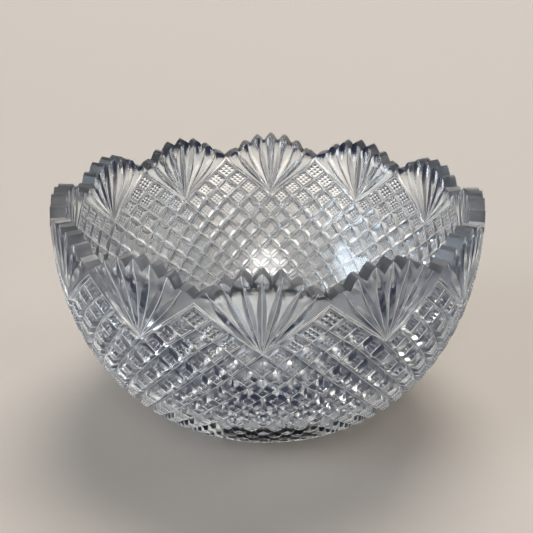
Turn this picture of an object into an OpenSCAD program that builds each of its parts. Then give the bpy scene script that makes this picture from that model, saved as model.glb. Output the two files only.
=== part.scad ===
// Cut-glass punch bowl: one piece of clear crystal with a scalloped, toothed rim,
// a fan of seven leaf cuts under every scallop, mitre cuts along the edges of the
// fans and a rayed star ground into the underside. It stands on the flat ring
// round the star. Origin: middle of that ring. +Z: up, the bowl's axis.

/* [Bowl] */
// Outer radius of the bowl at the rim
rim_r = 130; // [90:1:180]
// Height of the tallest teeth above the table
rim_h = 143; // [100:1:200]
// Outer radius of the flat foot ring
foot_r = 51; // [44:1:70]
// Thickness of the wall at the rim
wall_t = 9; // [6:0.5:12]
// Thickness of the floor
floor_t = 12; // [8:0.5:16]
// Radius of the flat middle of the floor inside
floor_r = 24; // [10:1:35]

/* [Rim] */
// Number of scallops round the rim, one fan under each
scallops = 12; // [8:1:16]
// How far the outermost teeth of a scallop stand below its middle tooth
scallop_drop = 11.7; // [4:0.1:16]
// Depth of the notches between the middle teeth
notch_depth = 6.2; // [2:0.1:8]
// Depth of the notch between two scallops, below the teeth beside it
valley_depth = 4; // [2:0.1:8]

/* [Fans] */
// Height of a fan, from the tip of its middle tooth down to the point its cuts start from
fan_h = 47.3; // [25:0.1:60]
// Distance from a tooth tip down to the end of the leaf cut under it
leaf_end_gap = 3; // [1:0.1:8]
// Depth of a leaf cut at its two ends
leaf_depth = 0.5; // [0.2:0.1:1.5]
// Half of the width of a leaf cut's mouth over its depth, the wheel's angle
leaf_spread = 1.4; // [1:0.1:2]
// Distance from the bottom of the notch between two scallops down to the point
// where the edges of their fans meet
fan_corner_gap = 4.3; // [1:0.1:10]
// Depth of the mitre cuts along the edges of a fan
mitre_depth = 1.1; // [0.5:0.1:2]

/* [Underside] */
// Number of rays of the star
star_rays = 24; // [12:2:36]
// Width of the flat foot ring round the star
ring_w = 9; // [4:0.5:15]
// Depth of the star at its middle
star_depth = 2.4; // [1:0.1:4]
// Radius of the star's round middle
star_hub_r = 13; // [8:0.5:20]

/* [Hidden] */
$fn = 96;
glass = [0.86, 0.9, 0.92, 0.5];

// Share of half a scallop's angle at which each tooth stands, from the middle out
tooth_share = [0, 0.3, 0.593, 0.813];
// How fast the rim line falls away from the middle of a scallop
fall_power = 2.2;
half_scallop = 180 / scallops;
inner_r = rim_r - wall_t;
star_r = foot_r - ring_w;
fan_point_h = rim_h - fan_h;
fan_corner_h = rim_h - scallop_drop - valley_depth - fan_corner_gap;

// Side profile: a cubic curve through four guide points
profile_steps = 20;
function curve(p, t) =
    pow(1 - t, 3) * p[0] + 3 * pow(1 - t, 2) * t * p[1] + 3 * (1 - t) * t * t * p[2] + pow(t, 3) * p[3];
function curve_points(p) = [for (i = [0:profile_steps]) curve(p, i / profile_steps)];
function reversed(list) = [for (i = [len(list) - 1:-1:0]) list[i]];
outer_belly = 6;
inner_belly = 3;
outer_guides = [
    [foot_r, 0],
    [foot_r + 0.415 * (rim_r - foot_r), 0.0475 * rim_h],
    [rim_r + outer_belly, 0.35 * rim_h],
    [rim_r, rim_h],
];
inner_guides = [
    [floor_r, floor_t],
    [floor_r + 0.6 * (inner_r - floor_r), floor_t],
    [inner_r + inner_belly, floor_t + 0.29 * (rim_h - floor_t)],
    [inner_r, rim_h],
];
outer_line = curve_points(outer_guides);
inner_line = curve_points(inner_guides);

// Outer radius at a height, read along the side profile
function outer_radius(h) = lookup(h, [for (p = outer_line) [p[1], p[0]]]);

// Height of the line through the tooth tips, at a share of half a scallop
function tip_h(share) = rim_h - scallop_drop * pow(share / tooth_share[3], fall_power);

// The plain bowl turned from its side profile
module blank() {
    rotate_extrude()
        polygon(concat([[0, 0]], outer_line, reversed(inner_line), [[0, floor_t]]));
}

// A vee with its lowest point at height h, through the wall at an angle. Its sides
// rise to the tips at the angles and heights [angle, height] left and right.
module rim_vee(angle, h, left, right) {
    over = rim_h + 1;
    overlap = 0.6;
    left_run = rim_r * (angle - left[0]) * PI / 180;
    right_run = rim_r * (right[0] - angle) * PI / 180;
    rotate([0, 0, angle])
        translate([rim_r - 2 * wall_t, 0, 0])
            rotate([90, 0, 90])
                linear_extrude(3 * wall_t)
                    polygon([
                        [0, h],
                        [right_run, right[1]],
                        [right_run + overlap, right[1]],
                        [right_run + overlap, over],
                        [-left_run - overlap, over],
                        [-left_run - overlap, left[1]],
                        [-left_run, left[1]],
                    ]);
}

// Every notch of one scallop, and the valley on its left side
module scallop_notches() {
    for (side = [-1, 1])
        for (i = [0:2]) {
            inner_share = tooth_share[i];
            outer_share = tooth_share[i + 1];
            share = (inner_share + outer_share) / 2;
            depth = notch_depth * (1 - share * 0.6);
            inner_tip = [side * inner_share * half_scallop, tip_h(inner_share)];
            outer_tip = [side * outer_share * half_scallop, tip_h(outer_share)];
            rim_vee(side * share * half_scallop, tip_h(share) - depth,
                    side > 0 ? inner_tip : outer_tip, side > 0 ? outer_tip : inner_tip);
        }
    last_tip = tooth_share[3] * half_scallop;
    rim_vee(-half_scallop, tip_h(tooth_share[3]) - valley_depth,
            [last_tip - 2 * half_scallop, tip_h(tooth_share[3])],
            [-last_tip, tip_h(tooth_share[3])]);
}

// A straight wheel cut in the outer wall from one [angle, height] to another
module wheel_cut(start, end, depth, spread) {
    mouth = depth + 6;
    start_r = outer_radius(start[1]);
    end_r = outer_radius(end[1]);
    half_turn = (end[0] - start[0]) / 2;
    out = (end_r - start_r) * cos(half_turn);
    along = (start_r + end_r) * sin(half_turn);
    up = end[1] - start[1];
    rotate([0, 0, start[0] + half_turn])
        translate([start_r * cos(half_turn), -start_r * sin(half_turn), start[1]])
            rotate([-atan2(along, up), 0, 0])
                rotate([0, atan2(out, norm([along, up])), 0])
                    linear_extrude(norm([out, along, up]))
                        polygon([[-depth, 0], [mouth - depth, mouth * spread], [mouth - depth, -mouth * spread]]);
}

// The seven leaf cuts of a fan and the two mitre cuts along its edges
module fan_cuts() {
    point = [0, fan_point_h];
    for (side = [-1, 1])
        for (i = [0:3])
            if (i > 0 || side > 0)
                wheel_cut(point, [side * tooth_share[i] * half_scallop, tip_h(tooth_share[i]) - leaf_end_gap],
                          leaf_depth, leaf_spread);
    for (side = [-1, 1])
        wheel_cut(point, [side * half_scallop, fan_corner_h], mitre_depth, leaf_spread);
}

// One ray of the star: a vee that fades out at the star's edge
module star_ray() {
    slope = atan2(star_depth, star_r);
    start = star_hub_r - 1;
    rotate([0, slope, 0])
        translate([start, 0, star_depth * cos(slope)])
            rotate([90, 0, 90])
                linear_extrude(star_r / cos(slope))
                    polygon([[0, 0], [2 * star_depth, -2 * star_depth], [-2 * star_depth, -2 * star_depth]]);
}

// The star ground into the underside, with its round middle
module star() {
    for (k = [0:star_rays - 1])
        rotate([0, 0, k * 360 / star_rays])
            star_ray();
    translate([0, 0, -1])
        cylinder(h = star_depth + 1, r = star_hub_r);
}

// The bowl with all of its cuts
module bowl() {
    color(glass)
        difference() {
            blank();
            for (k = [0:scallops - 1])
                rotate([0, 0, k * 2 * half_scallop]) {
                    scallop_notches();
                    fan_cuts();
                }
            star();
        }
}

bowl();
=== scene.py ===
import bpy
import bmesh
import math
import numpy as np
from mathutils import Matrix, Vector


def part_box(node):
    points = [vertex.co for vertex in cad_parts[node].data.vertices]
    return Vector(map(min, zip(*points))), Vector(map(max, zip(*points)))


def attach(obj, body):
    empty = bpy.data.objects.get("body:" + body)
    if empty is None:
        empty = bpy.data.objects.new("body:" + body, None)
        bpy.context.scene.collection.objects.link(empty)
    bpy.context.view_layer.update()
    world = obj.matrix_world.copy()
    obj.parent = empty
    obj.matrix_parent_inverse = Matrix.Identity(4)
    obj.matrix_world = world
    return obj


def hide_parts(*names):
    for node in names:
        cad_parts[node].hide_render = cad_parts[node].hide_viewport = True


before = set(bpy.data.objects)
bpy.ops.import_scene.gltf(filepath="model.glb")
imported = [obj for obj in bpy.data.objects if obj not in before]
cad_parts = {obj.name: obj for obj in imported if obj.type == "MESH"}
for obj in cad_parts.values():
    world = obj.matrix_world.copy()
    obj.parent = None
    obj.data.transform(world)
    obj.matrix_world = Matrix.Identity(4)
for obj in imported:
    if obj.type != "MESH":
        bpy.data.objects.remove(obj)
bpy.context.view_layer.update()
bowl_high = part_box("bowl")[1]

# ---------------------------------------------------------------------------
# The camera. It stands in front of the bowl and looks down into it at about 23
# degrees, a little to the right of the middle of the front fan.
# ---------------------------------------------------------------------------
camera_place = (0.0105, -0.5472, 0.3255)
camera_tilt = math.radians(90 - 23.17)
camera_roll = math.radians(-0.13)
camera_turn = math.radians(1.2)

camera_data = bpy.data.cameras.new("camera")
camera_data.sensor_width = 36
camera_data.lens = 63.9
camera_data.clip_start = 0.01
camera_data.clip_end = 30
camera = bpy.data.objects.new("camera", camera_data)
camera.location = camera_place
camera.rotation_euler = (camera_tilt, camera_roll, camera_turn)
bpy.context.collection.objects.link(camera)
bpy.context.scene.camera = camera

# ---------------------------------------------------------------------------
# The blank: a deep round bowl of lead crystal, blown and pressed in a mould. The
# cuts ground into it are laid out flat first: x in eighths of a scallop round the
# bowl, y in half blocks up from the fans' points, z as height above the blank.
# ---------------------------------------------------------------------------
scallops = 12
units_per_scallop = 8
unit_angle = 2 * math.pi / (units_per_scallop * scallops)
half_sector = units_per_scallop // 2

rim_height = bowl_high.z
belly_swell = 0.00046
rim_radius = bowl_high.x - belly_swell
foot_radius = 0.051
foot_flare, foot_lift = 0.415, 0.0475
belly_pull, belly_height = 0.006, 0.35
outer_guides = [
    (foot_radius, 0),
    (foot_radius + foot_flare * (rim_radius - foot_radius), foot_lift * rim_height),
    (rim_radius + belly_pull, belly_height * rim_height),
    (rim_radius, rim_height),
]
curve_steps = 400


def side_curve(guides):
    """Points of the cubic curve through four guide points, from the bottom up."""
    t = np.linspace(0, 1, curve_steps + 1)[:, None]
    a, b, c, d = (np.array(g) for g in guides)
    return (1 - t) ** 3 * a + 3 * (1 - t) ** 2 * t * b + 3 * (1 - t) * t * t * c + t ** 3 * d


fan_height = 0.0473
fan_point_height = rim_height - fan_height
corner_height = 0.123
row_rise = (corner_height - fan_point_height) / half_sector
rows_below = 21

# Below the fans' points, each row is about as high as it is wide, so that the blocks
# stay square where the bowl narrows. Above them, all rows have one height.
outer_line = side_curve(outer_guides)
outer_r, outer_z = outer_line[:, 0], outer_line[:, 1]
steps_r, steps_z = np.diff(outer_r), np.diff(outer_z)
step_length = np.hypot(steps_r, steps_z)
climb = np.concatenate([[0], np.cumsum(step_length / (outer_r[1:] + outer_r[:-1]) * 2)])
climb_to_points = np.interp(fan_point_height, outer_z, climb)
outer_row = np.where(
    outer_z < fan_point_height,
    (climb / climb_to_points - 1) * rows_below,
    (outer_z - fan_point_height) / row_rise,
)
normal_r = np.append(steps_z / step_length, 1)
normal_z = np.append(-steps_r / step_length, 0)


def row_of(height):
    """The pattern row at a height on the outside."""
    return float(np.interp(height, outer_z, outer_row))


def radius_at(row):
    """The outside radius at a pattern row."""
    return float(np.interp(row, outer_row, outer_r))


def wrap(bm):
    """Bends the flat pattern round the outside of the blank."""
    for v in bm.verts:
        angle = v.co.x * unit_angle
        row, out = v.co.y, v.co.z
        r = np.interp(row, outer_row, outer_r) + out * np.interp(row, outer_row, normal_r)
        z = np.interp(row, outer_row, outer_z) + out * np.interp(row, outer_row, normal_z)
        v.co = (r * math.cos(angle), r * math.sin(angle), z)


# ---------------------------------------------------------------------------
# The field of blocks. Two sets of slanting mitre cuts, ground with a vee-edged
# wheel, cross and leave square blocks of glass. Two fine cuts each way over a
# block's top leave nine small points. The cuts are wide low down, narrow high up.
# ---------------------------------------------------------------------------
top_share_low, top_share_high = 0.46, 0.84
groove_slope_low, groove_slope_high = 1.15, 0.9
groove_floor_width = 0.0005
edge_polish = 0.0002
fine_slope_low, fine_slope_high = 0.36, 0.24
fine_cuts = 2
last_wide_row = -2
last_steep_row = -4
close = 0.01

# The finishes of the glass, in the order of their materials. BLOCK_TOP only marks
# the tops of the blocks until their fine cuts are made.
CUT, POLISHED, FROSTED, GROUND, LEAF, WORN, BLOCK_TOP = range(7)


def top_share(row):
    """How much of a block's side is left as its flat top."""
    return float(np.interp(row, [last_wide_row, half_sector], [top_share_low, top_share_high]))


def block_side(row):
    """The length of a block's side, between two groove bottoms."""
    return math.sqrt(2) * unit_angle * radius_at(row)


def groove_depth(row):
    """The depth of the mitre cuts, which run out at the foot ring."""
    if row < close - rows_below:
        return 0
    slope = np.interp(row, [last_wide_row, half_sector], [groove_slope_low, groove_slope_high])
    return float(block_side(row) * (1 - top_share(row)) / 2 * slope)


def in_field(face):
    """True for the blocks of one sector that lie under the edges of the fans."""
    x, y = (round(c) for c in face.calc_center_median().xy)
    return -half_sector <= x < half_sector and -rows_below <= y < abs(x)


def mark(faces, finish):
    """Gives faces one of the finishes."""
    for f in faces:
        f.material_index = finish


# A square grid, turned by 45 degrees so that its cells are the blocks, covers more
# than one sector.
grid_cells = 18
grid_middle = -8
whole_block_area = 2
pattern = bmesh.new()
bmesh.ops.create_grid(pattern, x_segments=grid_cells, y_segments=grid_cells,
                      size=grid_cells / math.sqrt(2))
bmesh.ops.rotate(pattern, verts=pattern.verts, cent=(0, 0, 0), matrix=Matrix.Rotation(math.pi / 4, 3, "Z"))
for v in pattern.verts:
    v.co = (round(v.co.x), round(v.co.y + grid_middle), 0)
bmesh.ops.delete(pattern, geom=[f for f in pattern.faces if not in_field(f)], context="FACES")
bmesh.ops.bisect_plane(pattern, geom=pattern.verts[:] + pattern.edges[:] + pattern.faces[:],
                       plane_co=(0, -rows_below, 0), plane_no=(0, -1, 0), clear_outer=True)
for v in pattern.verts:
    v.co.z = -groove_depth(v.co.y)

# Three insets make each block: the groove's floor, its slope and the block's edge.
for row in range(1 - rows_below, half_sector):
    blocks = [f for f in pattern.faces
              if f.material_index == CUT and round(f.calc_center_median().y) == row
              and abs(f.calc_area() - whole_block_area) < close]
    unit = unit_angle * radius_at(row)
    land = (1 - top_share(row)) / 2 * math.sqrt(2)
    floor_edge = groove_floor_width / 2 / unit
    polished = edge_polish / unit
    mark(blocks, BLOCK_TOP)
    for width, sunk, finish in (
        (floor_edge, None, FROSTED),
        (land - floor_edge - polished, edge_polish, CUT),
        (polished, 0, FROSTED),
    ):
        border = bmesh.ops.inset_individual(pattern, faces=blocks, thickness=width, use_even_offset=True)
        mark(border["faces"], finish)
        for v in {v for f in blocks for v in f.verts}:
            v.co.z = -groove_depth(v.co.y) if sunk is None else -sunk

top_edges = [e for e in pattern.edges if any(f.material_index == BLOCK_TOP for f in e.link_faces)]
bmesh.ops.subdivide_edges(pattern, edges=top_edges, cuts=fine_cuts, use_grid_fill=True)
points = [f for f in pattern.faces if f.material_index == BLOCK_TOP]
for v in {v for f in points for v in f.verts}:
    fine_slope = np.interp(v.co.y, [last_steep_row, half_sector], [fine_slope_low, fine_slope_high])
    v.co.z = -fine_slope * block_side(v.co.y) * top_share(v.co.y) / (fine_cuts + 1)
poked = bmesh.ops.poke(pattern, faces=points)
for v in poked["verts"]:
    v.co.z = 0
mark([f for f in pattern.faces if f.material_index == BLOCK_TOP], CUT)


def on_fan_edge(v):
    """True for a point of the two mitre cuts that rise from a fan's point."""
    x = abs(v.co.x)
    return v.co.y > -close and abs(v.co.y - min(x, 2 * half_sector - x)) < close


# The open edges along the fans get the same steps as the fans' own columns.
steps_per_block = 4
fan_edges = [e for e in pattern.edges if e.is_boundary and all(on_fan_edge(v) for v in e.verts)]
divided = bmesh.ops.subdivide_edges(pattern, edges=fan_edges, cuts=steps_per_block - 1)
for v in (g for g in divided["geom_inner"] if isinstance(g, bmesh.types.BMVert)):
    v.co.z = -groove_depth(v.co.y)

# ---------------------------------------------------------------------------
# The fans. Seven leaf-shaped cuts spread from each point up to the teeth, with
# narrow lands between them, and a mitre cut runs along each edge of the fan. The
# teeth are ground across the rim, one above each leaf.
# ---------------------------------------------------------------------------
tooth_share = [0, 0.3, 0.593, 0.813]
scallop_drop = 0.0117
fall_power = 2.2
notch_depth = 0.0062
notch_fade = 0.6
valley_depth = 0.004
tooth_shoulder_share = 0.38
tooth_shoulder_rise = 0.0007
edge_cut_rows = 0.28
border_ridge_rows = 0.09
fan_steps = steps_per_block * half_sector
leaf_steps = fan_steps - 1
leaf_share = 0.97
leaf_fullness = 3.6
leaf_slope = 1.0
leaf_end_share = 0.12
leaf_lean = 0.35
least_room = 1e-6


def tip_height(share):
    """Height of the line through the tooth tips, at a share of half a scallop."""
    return rim_height - scallop_drop * (share / tooth_share[-1]) ** fall_power


tips = [(half_sector * s, row_of(tip_height(s))) for s in tooth_share]
notches = []
for inner, outer in zip(tooth_share, tooth_share[1:]):
    share = (inner + outer) / 2
    bottom = tip_height(share) - notch_depth * (1 - notch_fade * share)
    notches.append((half_sector * share, row_of(bottom)))
notches.append((half_sector, row_of(tip_height(tooth_share[-1]) - valley_depth)))


def along(end, v):
    """A point of the straight line from the fan's point to a place on the rim."""
    start = edge_cut_rows + border_ridge_rows
    return np.array([end[0] * v, start + (end[1] - start) * v])


def leaf_width(step):
    """Half width of a leaf cut, as a share of the room it has at a step."""
    if step >= leaf_steps:
        return leaf_end_share
    return max(leaf_end_share, leaf_share * (1 - (step / leaf_steps) ** leaf_fullness))


def leaf_depth(step, tip, notch):
    """Depth of a leaf cut at a step."""
    if step >= leaf_steps:
        return 0
    room = abs(notch[0] - tip[0]) * unit_angle * rim_radius * step / fan_steps
    return (leaf_width(step) - leaf_end_share * step / leaf_steps) * room * leaf_slope


def fan_columns(step):
    """The points of half a fan at one step, from its middle line outwards.

    A leaf has a narrow floor between two shoulders, and leans away from the middle
    leaf. A land's middle line follows. The border ridge and mitre cut come last.
    """
    v = step / fan_steps
    on_rim = step == fan_steps
    column = []
    for i, tip in enumerate(tips):
        middle = along(tip, v)
        depth = leaf_depth(step, tip, notches[i])
        lean = leaf_lean * leaf_width(step) if i and not on_rim else 0
        lowest = middle + (along(notches[i], v) - middle) * lean
        for notch in notches[max(i - 1, 0):i + 1]:
            room = max(abs(notch[0] - tip[0]) * unit_angle * rim_radius * v, least_room)
            share = tooth_shoulder_share if on_rim else leaf_width(step)
            floor_share = min(share / 2, groove_floor_width / 2 / room)
            rise = tooth_shoulder_rise / row_rise if on_rim else 0
            reach = along(notch, v) - middle
            shoulder = (*(middle + reach * share + (0, rise)), 0)
            leaf_floor = (*(lowest + reach * floor_share), -depth)
            column += [leaf_floor, shoulder] if notch[0] > tip[0] else [shoulder, leaf_floor]
        column.append((*along(notches[i], v), 0))
    x = half_sector * v
    column.append((x, x + edge_cut_rows + border_ridge_rows, 0))
    column.append((x, x + edge_cut_rows, 0))
    column.append((x, x + groove_floor_width / row_rise, -groove_depth(x)))
    column.append((x, x, -groove_depth(x)))
    return column


half_fan = [fan_columns(step) for step in range(fan_steps + 1)]
per_side = len(half_fan[0])
strips = 2 * per_side - 1
columns_per_leaf = 5
leaf_floors = {columns_per_leaf * i - 1 for i in range(len(tips))}
border_ridge, mitre_floor = per_side - 4, per_side - 2
frosted_strips = leaf_floors | {border_ridge, mitre_floor}


def column_of(x):
    """The column at a place on the flat sheet, counted out from the fan's middle.

    Half a column is added on either side, because the fan's middle is a strip.
    """
    return (x + 1) / 2 * strips - per_side + 0.5


fan = bmesh.new()
bmesh.ops.create_grid(fan, x_segments=strips, y_segments=fan_steps, size=1)
for f in fan.faces:
    strip = math.floor(abs(column_of(f.calc_center_median().x)) - 0.5)
    f.material_index = FROSTED if strip in frosted_strips else LEAF
for v in fan.verts:
    place = column_of(v.co.x)
    step = round((v.co.y + 1) / 2 * fan_steps)
    x, y, z = half_fan[step][round(abs(place) - 0.5)]
    v.co = (math.copysign(x, place), y, z)
fan_mesh = bpy.data.meshes.new("fan_sheet")
fan.to_mesh(fan_mesh)
fan.free()
pattern.from_mesh(fan_mesh)
bpy.data.meshes.remove(fan_mesh)

# One sector is now whole. It is bent to the blank and repeated round the bowl.
flat_merge = 0.0002
merge = 0.00002
least_edge = 0.00001
bmesh.ops.remove_doubles(pattern, verts=pattern.verts, dist=flat_merge)
wrap(pattern)
bmesh.ops.spin(pattern, geom=pattern.verts[:] + pattern.edges[:] + pattern.faces[:], axis=(0, 0, 1),
               cent=(0, 0, 0), angle=2 * math.pi * (scallops - 1) / scallops, steps=scallops - 1,
               use_duplicate=True)
bmesh.ops.remove_doubles(pattern, verts=pattern.verts, dist=merge)
bmesh.ops.dissolve_degenerate(pattern, edges=pattern.edges, dist=least_edge)

# ---------------------------------------------------------------------------
# The rim and the inside. The teeth's ground faces run straight through the glass
# wall and stay matt. The inside is left as smooth as it was blown.
# ---------------------------------------------------------------------------
wall_thickness = 0.009
floor_thickness = 0.012
floor_radius = 0.024
inner_radius = rim_radius - wall_thickness
floor_flare = 0.6
inner_pull, inner_belly_height = 0.003, 0.29
inner_guides = [
    (floor_radius, floor_thickness),
    (floor_radius + floor_flare * (inner_radius - floor_radius), floor_thickness),
    (inner_radius + inner_pull, floor_thickness + inner_belly_height * (rim_height - floor_thickness)),
    (inner_radius, rim_height),
]
inner_line = side_curve(inner_guides)
inner_r, inner_z = inner_line[:, 0], inner_line[:, 1]
inner_share = np.linspace(0, 1, curve_steps + 1)
inner_rows = 36
rim_zone = (0.12, 0.2)


def open_edges(zone):
    """The open edges of the sheet between two heights."""
    low, high = zone
    return [e for e in pattern.edges if e.is_boundary and low <= min(v.co.z for v in e.verts)
            and max(v.co.z for v in e.verts) <= high]


def grow(edges, place):
    """Extends open edges by one row, each new point at place(angle, old point)."""
    grown = bmesh.ops.extrude_edge_only(pattern, edges=edges)["geom"]
    for v in (g for g in grown if isinstance(g, bmesh.types.BMVert)):
        v.co = place(math.atan2(v.co.y, v.co.x), v.co)
    return [g for g in grown if isinstance(g, bmesh.types.BMEdge) and g.is_boundary]


def at(angle, r, z):
    """The point at an angle round the bowl, a radius and a height."""
    return Vector((r * math.cos(angle), r * math.sin(angle), z))


def through_wall(angle, old):
    """The point of the inside at the same height."""
    return at(angle, np.interp(old.z, inner_z, inner_r), old.z)


outside_faces = set(pattern.faces)
edge_loop = grow(open_edges(rim_zone), through_wall)
mark(set(pattern.faces) - outside_faces, GROUND)

cut_faces = set(pattern.faces)
corner_share = np.interp(corner_height, inner_z, inner_share)
for share in np.linspace(corner_share, 0, inner_rows):
    r = np.interp(share, inner_share, inner_r)
    z = np.interp(share, inner_share, inner_z)
    edge_loop = grow(edge_loop, lambda angle, old: at(angle, r, z))
bmesh.ops.edgeloop_fill(pattern, edges=edge_loop)
inside_faces = set(pattern.faces) - cut_faces
mark(inside_faces, POLISHED)
for f in inside_faces:
    f.smooth = True

# ---------------------------------------------------------------------------
# The underside. The bowl stands on a flat ring ground into the glass, with small
# teeth where the lowest cuts run out. A star of 24 rays fills the middle of it,
# and the lowest glass is worn matt.
# ---------------------------------------------------------------------------
foot_zone = (-0.001, 0.001)
foot_teeth = 3 * half_sector * scallops
foot_tooth_depth = 0.0006
star_rays = 24
star_radius = 0.042
star_depth = 0.0024
star_rings = (0.043, 0.040, 0.034, 0.028, 0.022, 0.016, 0.012, 0.008, 0.004, 0)
ray_columns = 4
ray_spread = 1.1
widest_ray = 0.98
least_radius = 1e-6
worn_height = 0.0125
star_columns = ray_columns * star_rays
LAND, RAY_BOTTOM = 0, 2

foot_edges = open_edges(foot_zone)
bmesh.ops.subdivide_edges(pattern, edges=foot_edges, cuts=2 * foot_teeth // len(foot_edges) - 1)
for v in {v for e in open_edges(foot_zone) for v in e.verts}:
    place = round(math.atan2(v.co.y, v.co.x) / (math.pi / foot_teeth))
    v.co = at(place * math.pi / foot_teeth, foot_radius - foot_tooth_depth * (place % 2), 0)


def star_point(column, r):
    """A point of the star. Each ray has a land, two edges and a bottom line."""
    depth = max(0, star_depth * (1 - r / star_radius))
    half_pitch = math.pi * r / star_rays
    half_width = min(depth * ray_spread, half_pitch * widest_ray)
    angle = 2 * math.pi * column / star_columns
    kind = column % ray_columns
    if r > star_radius:
        return at(angle, r, 0)
    if kind == LAND:
        return at(angle, r, max(0, depth - half_pitch / ray_spread))
    if kind == RAY_BOTTOM:
        return at(angle, r, depth)
    side = kind - RAY_BOTTOM
    bottom_angle = angle - side * 2 * math.pi / star_columns
    return at(bottom_angle + side * half_width / max(r, least_radius), r, depth - half_width / ray_spread)


star = bmesh.new()
bmesh.ops.create_grid(star, x_segments=star_columns, y_segments=len(star_rings) - 1, size=1)
for v in star.verts:
    column = round((v.co.x + 1) / 2 * star_columns)
    v.co = star_point(column, star_rings[round((v.co.y + 1) / 2 * (len(star_rings) - 1))])
star_mesh = bpy.data.meshes.new("star_sheet")
star.to_mesh(star_mesh)
star.free()
pattern.from_mesh(star_mesh)
bpy.data.meshes.remove(star_mesh)
bmesh.ops.remove_doubles(pattern, verts=pattern.verts, dist=merge)
bmesh.ops.dissolve_degenerate(pattern, edges=pattern.edges, dist=least_edge)
bmesh.ops.bridge_loops(pattern, edges=open_edges(foot_zone))
bmesh.ops.recalc_face_normals(pattern, faces=pattern.faces)
for f in pattern.faces:
    centre = f.calc_center_median()
    if centre.z < worn_height and centre.xy.length > star_radius:
        f.material_index = WORN

# ---------------------------------------------------------------------------
# The crystal. The whole bowl is one piece of clear lead glass. It differs in how each
# surface was left: fire-polished inside, wheel-cut and then polished in acid outside,
# matt in the groove bottoms, ground on the teeth, worn at the foot. The ground teeth
# are also given a dark grey colour, which is painted shade.
# ---------------------------------------------------------------------------
clear = (0.97, 0.97, 0.965)
# The dark grey for the teeth's ground faces is painted shade, not the glass's own colour.
tooth_painted_shade = (0.1, 0.105, 0.12)
refraction = 1.545
cool_shift = (0.96, 0.98, 1)
cloud_scale = 60
cloud_start, cloud_end = 0.35, 0.65
wheel_mark_scale = 1000
wear_start, wear_end = 0.0002, 0.0015
wear_roughness = 0.2
gloss_roughness, gloss_spread = 0.07, 0.04


class Shade:
    """A shader socket. Arithmetic on it adds Math nodes to its tree."""

    def __init__(self, tree, socket=None):
        self.tree = tree
        self.socket = socket

    def node(self, kind, settings=None, sockets=None, output=0):
        """Adds a node: its settings first, then the values or links of its sockets."""
        made = self.tree.nodes.new(kind)
        for name, value in (settings or {}).items():
            setattr(made, name, value)
        for key, value in (sockets or {}).items():
            self.feed(made.inputs[key], value)
        return Shade(self.tree, made.outputs[output])

    def feed(self, socket, value):
        """Links a shade to a socket, or sets the socket's own value."""
        if isinstance(value, Shade):
            self.tree.links.new(value.socket, socket)
        else:
            socket.default_value = value

    def maths(self, operation, a, b):
        return self.node("ShaderNodeMath", {"operation": operation}, {0: a, 1: b})

    def __add__(self, other):
        return self.maths("ADD", self, other)

    def __radd__(self, other):
        return self.maths("ADD", other, self)

    def __sub__(self, other):
        return self.maths("SUBTRACT", self, other)

    def __rsub__(self, other):
        return self.maths("SUBTRACT", other, self)

    def __mul__(self, other):
        return self.maths("MULTIPLY", self, other)

    def __rmul__(self, other):
        return self.maths("MULTIPLY", other, self)

    def step(self, low, high):
        """0 below low, 1 above high, and smooth between them."""
        return self.node("ShaderNodeMapRange", {"interpolation_type": "SMOOTHSTEP"},
                         {"Value": self, "From Min": low, "From Max": high})

    def blend(self, a, b):
        """The colour a where this shade is 0, and b where it is 1."""
        colour_a, colour_b, colour_result = 6, 7, 2
        return self.node("ShaderNodeMix", {"data_type": "RGBA"},
                         {"Factor": self, colour_a: a, colour_b: b}, colour_result)

    def noise(self, place, scale):
        """Soft noise round 0.5, with scale patches to the metre."""
        return self.node("ShaderNodeTexNoise", None, {"Vector": place, "Scale": scale, "Detail": 2.0})


def crystal(name, tint, roughness, spread, grain, gloss_share=0, transmission=1, specular=0.5):
    """Lead crystal with one finish.

    Its roughness wanders by spread, and grain is the depth of its wheel marks. With
    a gloss_share, that much of the surface is polished as well, over the marks.
    """
    material = bpy.data.materials.new(name)
    material.use_nodes = True
    tree = Shade(material.node_tree)
    place = tree.node("ShaderNodeTexCoord", output="Object")
    height = tree.node("ShaderNodeSeparateXYZ", None, {"Vector": place}, "Z")
    worn = 1 - height.step(wear_start, wear_end)
    cloudy = tree.noise(place, cloud_scale)
    marks = tree.node("ShaderNodeBump", None, {
        "Strength": 1.0, "Distance": grain, "Height": tree.noise(place, wheel_mark_scale)})
    cool = [channel * shift for channel, shift in zip(tint, cool_shift)]
    colour = cloudy.step(cloud_start, cloud_end).blend((*cool, 1), (*tint, 1))
    surface = material.node_tree.nodes["Principled BSDF"]
    for socket, value in {
        "Base Color": colour,
        "Roughness": roughness + spread * (cloudy - 0.5) + worn * wear_roughness,
        "Normal": marks,
        "IOR": refraction,
        "Transmission Weight": transmission,
        "Specular IOR Level": specular,
    }.items():
        tree.feed(surface.inputs[socket], value)
    if gloss_share:
        gloss = tree.node("ShaderNodeBsdfPrincipled", None, {
            "Base Color": colour,
            "Roughness": gloss_roughness + gloss_spread * cloudy,
            "Normal": marks,
            "IOR": refraction,
            "Transmission Weight": 1,
        })
        matt = Shade(material.node_tree, surface.outputs["BSDF"])
        both = tree.node("ShaderNodeMixShader", None, {0: gloss_share, 1: matt, 2: gloss})
        tree.feed(material.node_tree.nodes["Material Output"].inputs["Surface"], both)
    return material


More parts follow.
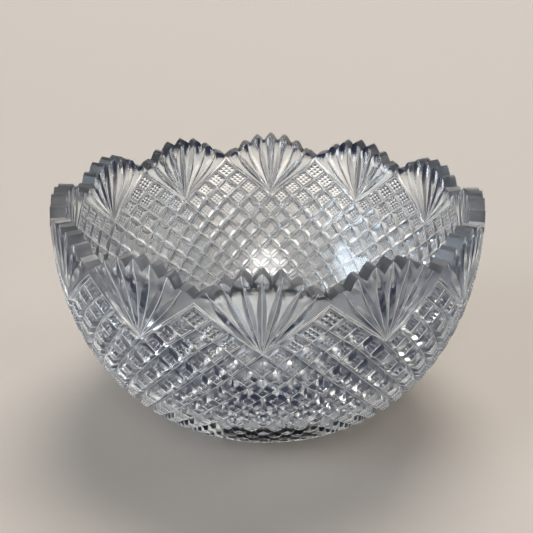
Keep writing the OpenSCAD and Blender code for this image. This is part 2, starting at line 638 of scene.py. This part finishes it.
bowl_mesh = bpy.data.meshes.new("crystal_bowl")
pattern.to_mesh(bowl_mesh)
pattern.free()
for finish in (
    crystal("cut_crystal", clear, roughness=0.285, spread=0.02, grain=0.00004, gloss_share=0.72),
    crystal("polished_crystal", clear, roughness=0.015, spread=0.02, grain=0.000002),
    crystal("frosted_crystal", clear, roughness=0.6, spread=0.1, grain=0.00005, transmission=0.5),
    crystal("ground_crystal_painted_shade", tooth_painted_shade, roughness=0.4, spread=0.1, grain=0.0001, specular=0.1),
    crystal("leaf_crystal", clear, roughness=0.285, spread=0.02, grain=0.0001, gloss_share=0.7),
    crystal("worn_crystal", clear, roughness=0.3, spread=0.1, grain=0.0001, transmission=0.6),
):
    bowl_mesh.materials.append(finish)
bowl = bpy.data.objects.new("crystal_bowl", bowl_mesh)
bpy.context.collection.objects.link(bowl)
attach(bowl, "root")
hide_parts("bowl")

# ---------------------------------------------------------------------------
# The studio: a plain pale floor and a plain pale surround for the camera. Glass
# shows what stands round it, so the bowl itself looks into a room with a dark
# cloth below, a light wall behind, dim sides and four round soft boxes.
# ---------------------------------------------------------------------------
studio_floor_radius = 14
floor_paint = (0.37, 0.345, 0.32, 1)
floor_bm = bmesh.new()
bmesh.ops.create_circle(floor_bm, cap_ends=True, segments=96, radius=studio_floor_radius)
floor_mesh = bpy.data.meshes.new("studio_floor")
floor_bm.to_mesh(floor_mesh)
floor_bm.free()
floor = bpy.data.objects.new("studio_floor", floor_mesh)
bpy.context.collection.objects.link(floor)
floor_material = bpy.data.materials.new("pale_floor")
floor_material.use_nodes = True
paint = floor_material.node_tree.nodes["Principled BSDF"]
paint.inputs["Base Color"].default_value = floor_paint
paint.inputs["Roughness"].default_value = 0.8
floor_mesh.materials.append(floor_material)
floor.visible_transmission = False
floor.visible_glossy = False

cloth = (0.01, 0.018, 0.05, 1)
dim_side = (0.04, 0.045, 0.06, 1)
light_wall = (1.3, 1.22, 1.12, 1)
low_wall = (0.75, 0.71, 0.66, 1)
ceiling = (0.5, 0.49, 0.47, 1)
surround = (0.62, 0.575, 0.53, 1)
wall_start, wall_full = 0.65, 0.95
front_wall_share = 0.3
low_wall_start, low_wall_end = -0.25, 0
ceiling_start, ceiling_full = 0.5, 0.75
wall_drop, wall_drop_full = 0.52, 0.8
cloth_blur = 0.03
box_blur_out, box_blur_in = 0.02, 0.01

# Each soft box has the direction of its middle, its half angle in degrees and its light.
soft_boxes = [
    ((0.1, 0.35, 0.93), 16, (11, 10.5, 10)),
    ((0.03, -0.74, 0.67), 9, (6, 5.8, 5.5)),
    ((-0.85, -0.35, 0.4), 14, (6, 7, 8)),
    ((0.9, 0.1, 0.35), 8, (7, 6.6, 6)),
]

world = bpy.data.worlds.new("studio")
world.use_nodes = True
bpy.context.scene.world = world
room = Shade(world.node_tree)
direction = room.node("ShaderNodeTexCoord", output="Generated")
back = room.node("ShaderNodeSeparateXYZ", None, {"Vector": direction}, "Y")
up = room.node("ShaderNodeSeparateXYZ", None, {"Vector": direction}, "Z")
wall = up.step(low_wall_start, low_wall_end).blend(low_wall, light_wall)
wall_share = back.step(wall_start, wall_full) + front_wall_share * (0 - back).step(wall_start, wall_full)
above = up.step(ceiling_start, ceiling_full).blend(wall_share.blend(dim_side, wall), ceiling)
over_cloth = (up + wall_drop * back.step(0, wall_drop_full)).step(-cloth_blur, cloth_blur)
seen = over_cloth.blend(cloth, above)
for axis, reach, light in soft_boxes:
    facing = room.node("ShaderNodeVectorMath", {"operation": "DOT_PRODUCT"},
                       {0: direction, 1: Vector(axis).normalized()}, "Value")
    edge = math.cos(math.radians(reach))
    seen = facing.step(edge - box_blur_out, edge + box_blur_in).blend(seen, (*light, 1))
camera_ray = room.node("ShaderNodeLightPath", output="Is Camera Ray")
room.feed(world.node_tree.nodes["Background"].inputs["Color"], camera_ray.blend(seen, surround))

scene = bpy.context.scene
scene.view_settings.view_transform = "Standard"
scene.view_settings.exposure = 0.1
scene.view_settings.gamma = 0.85
scene.cycles.max_bounces = 24
scene.cycles.transmission_bounces = 24
scene.cycles.glossy_bounces = 12
scene.cycles.sample_clamp_indirect = 8
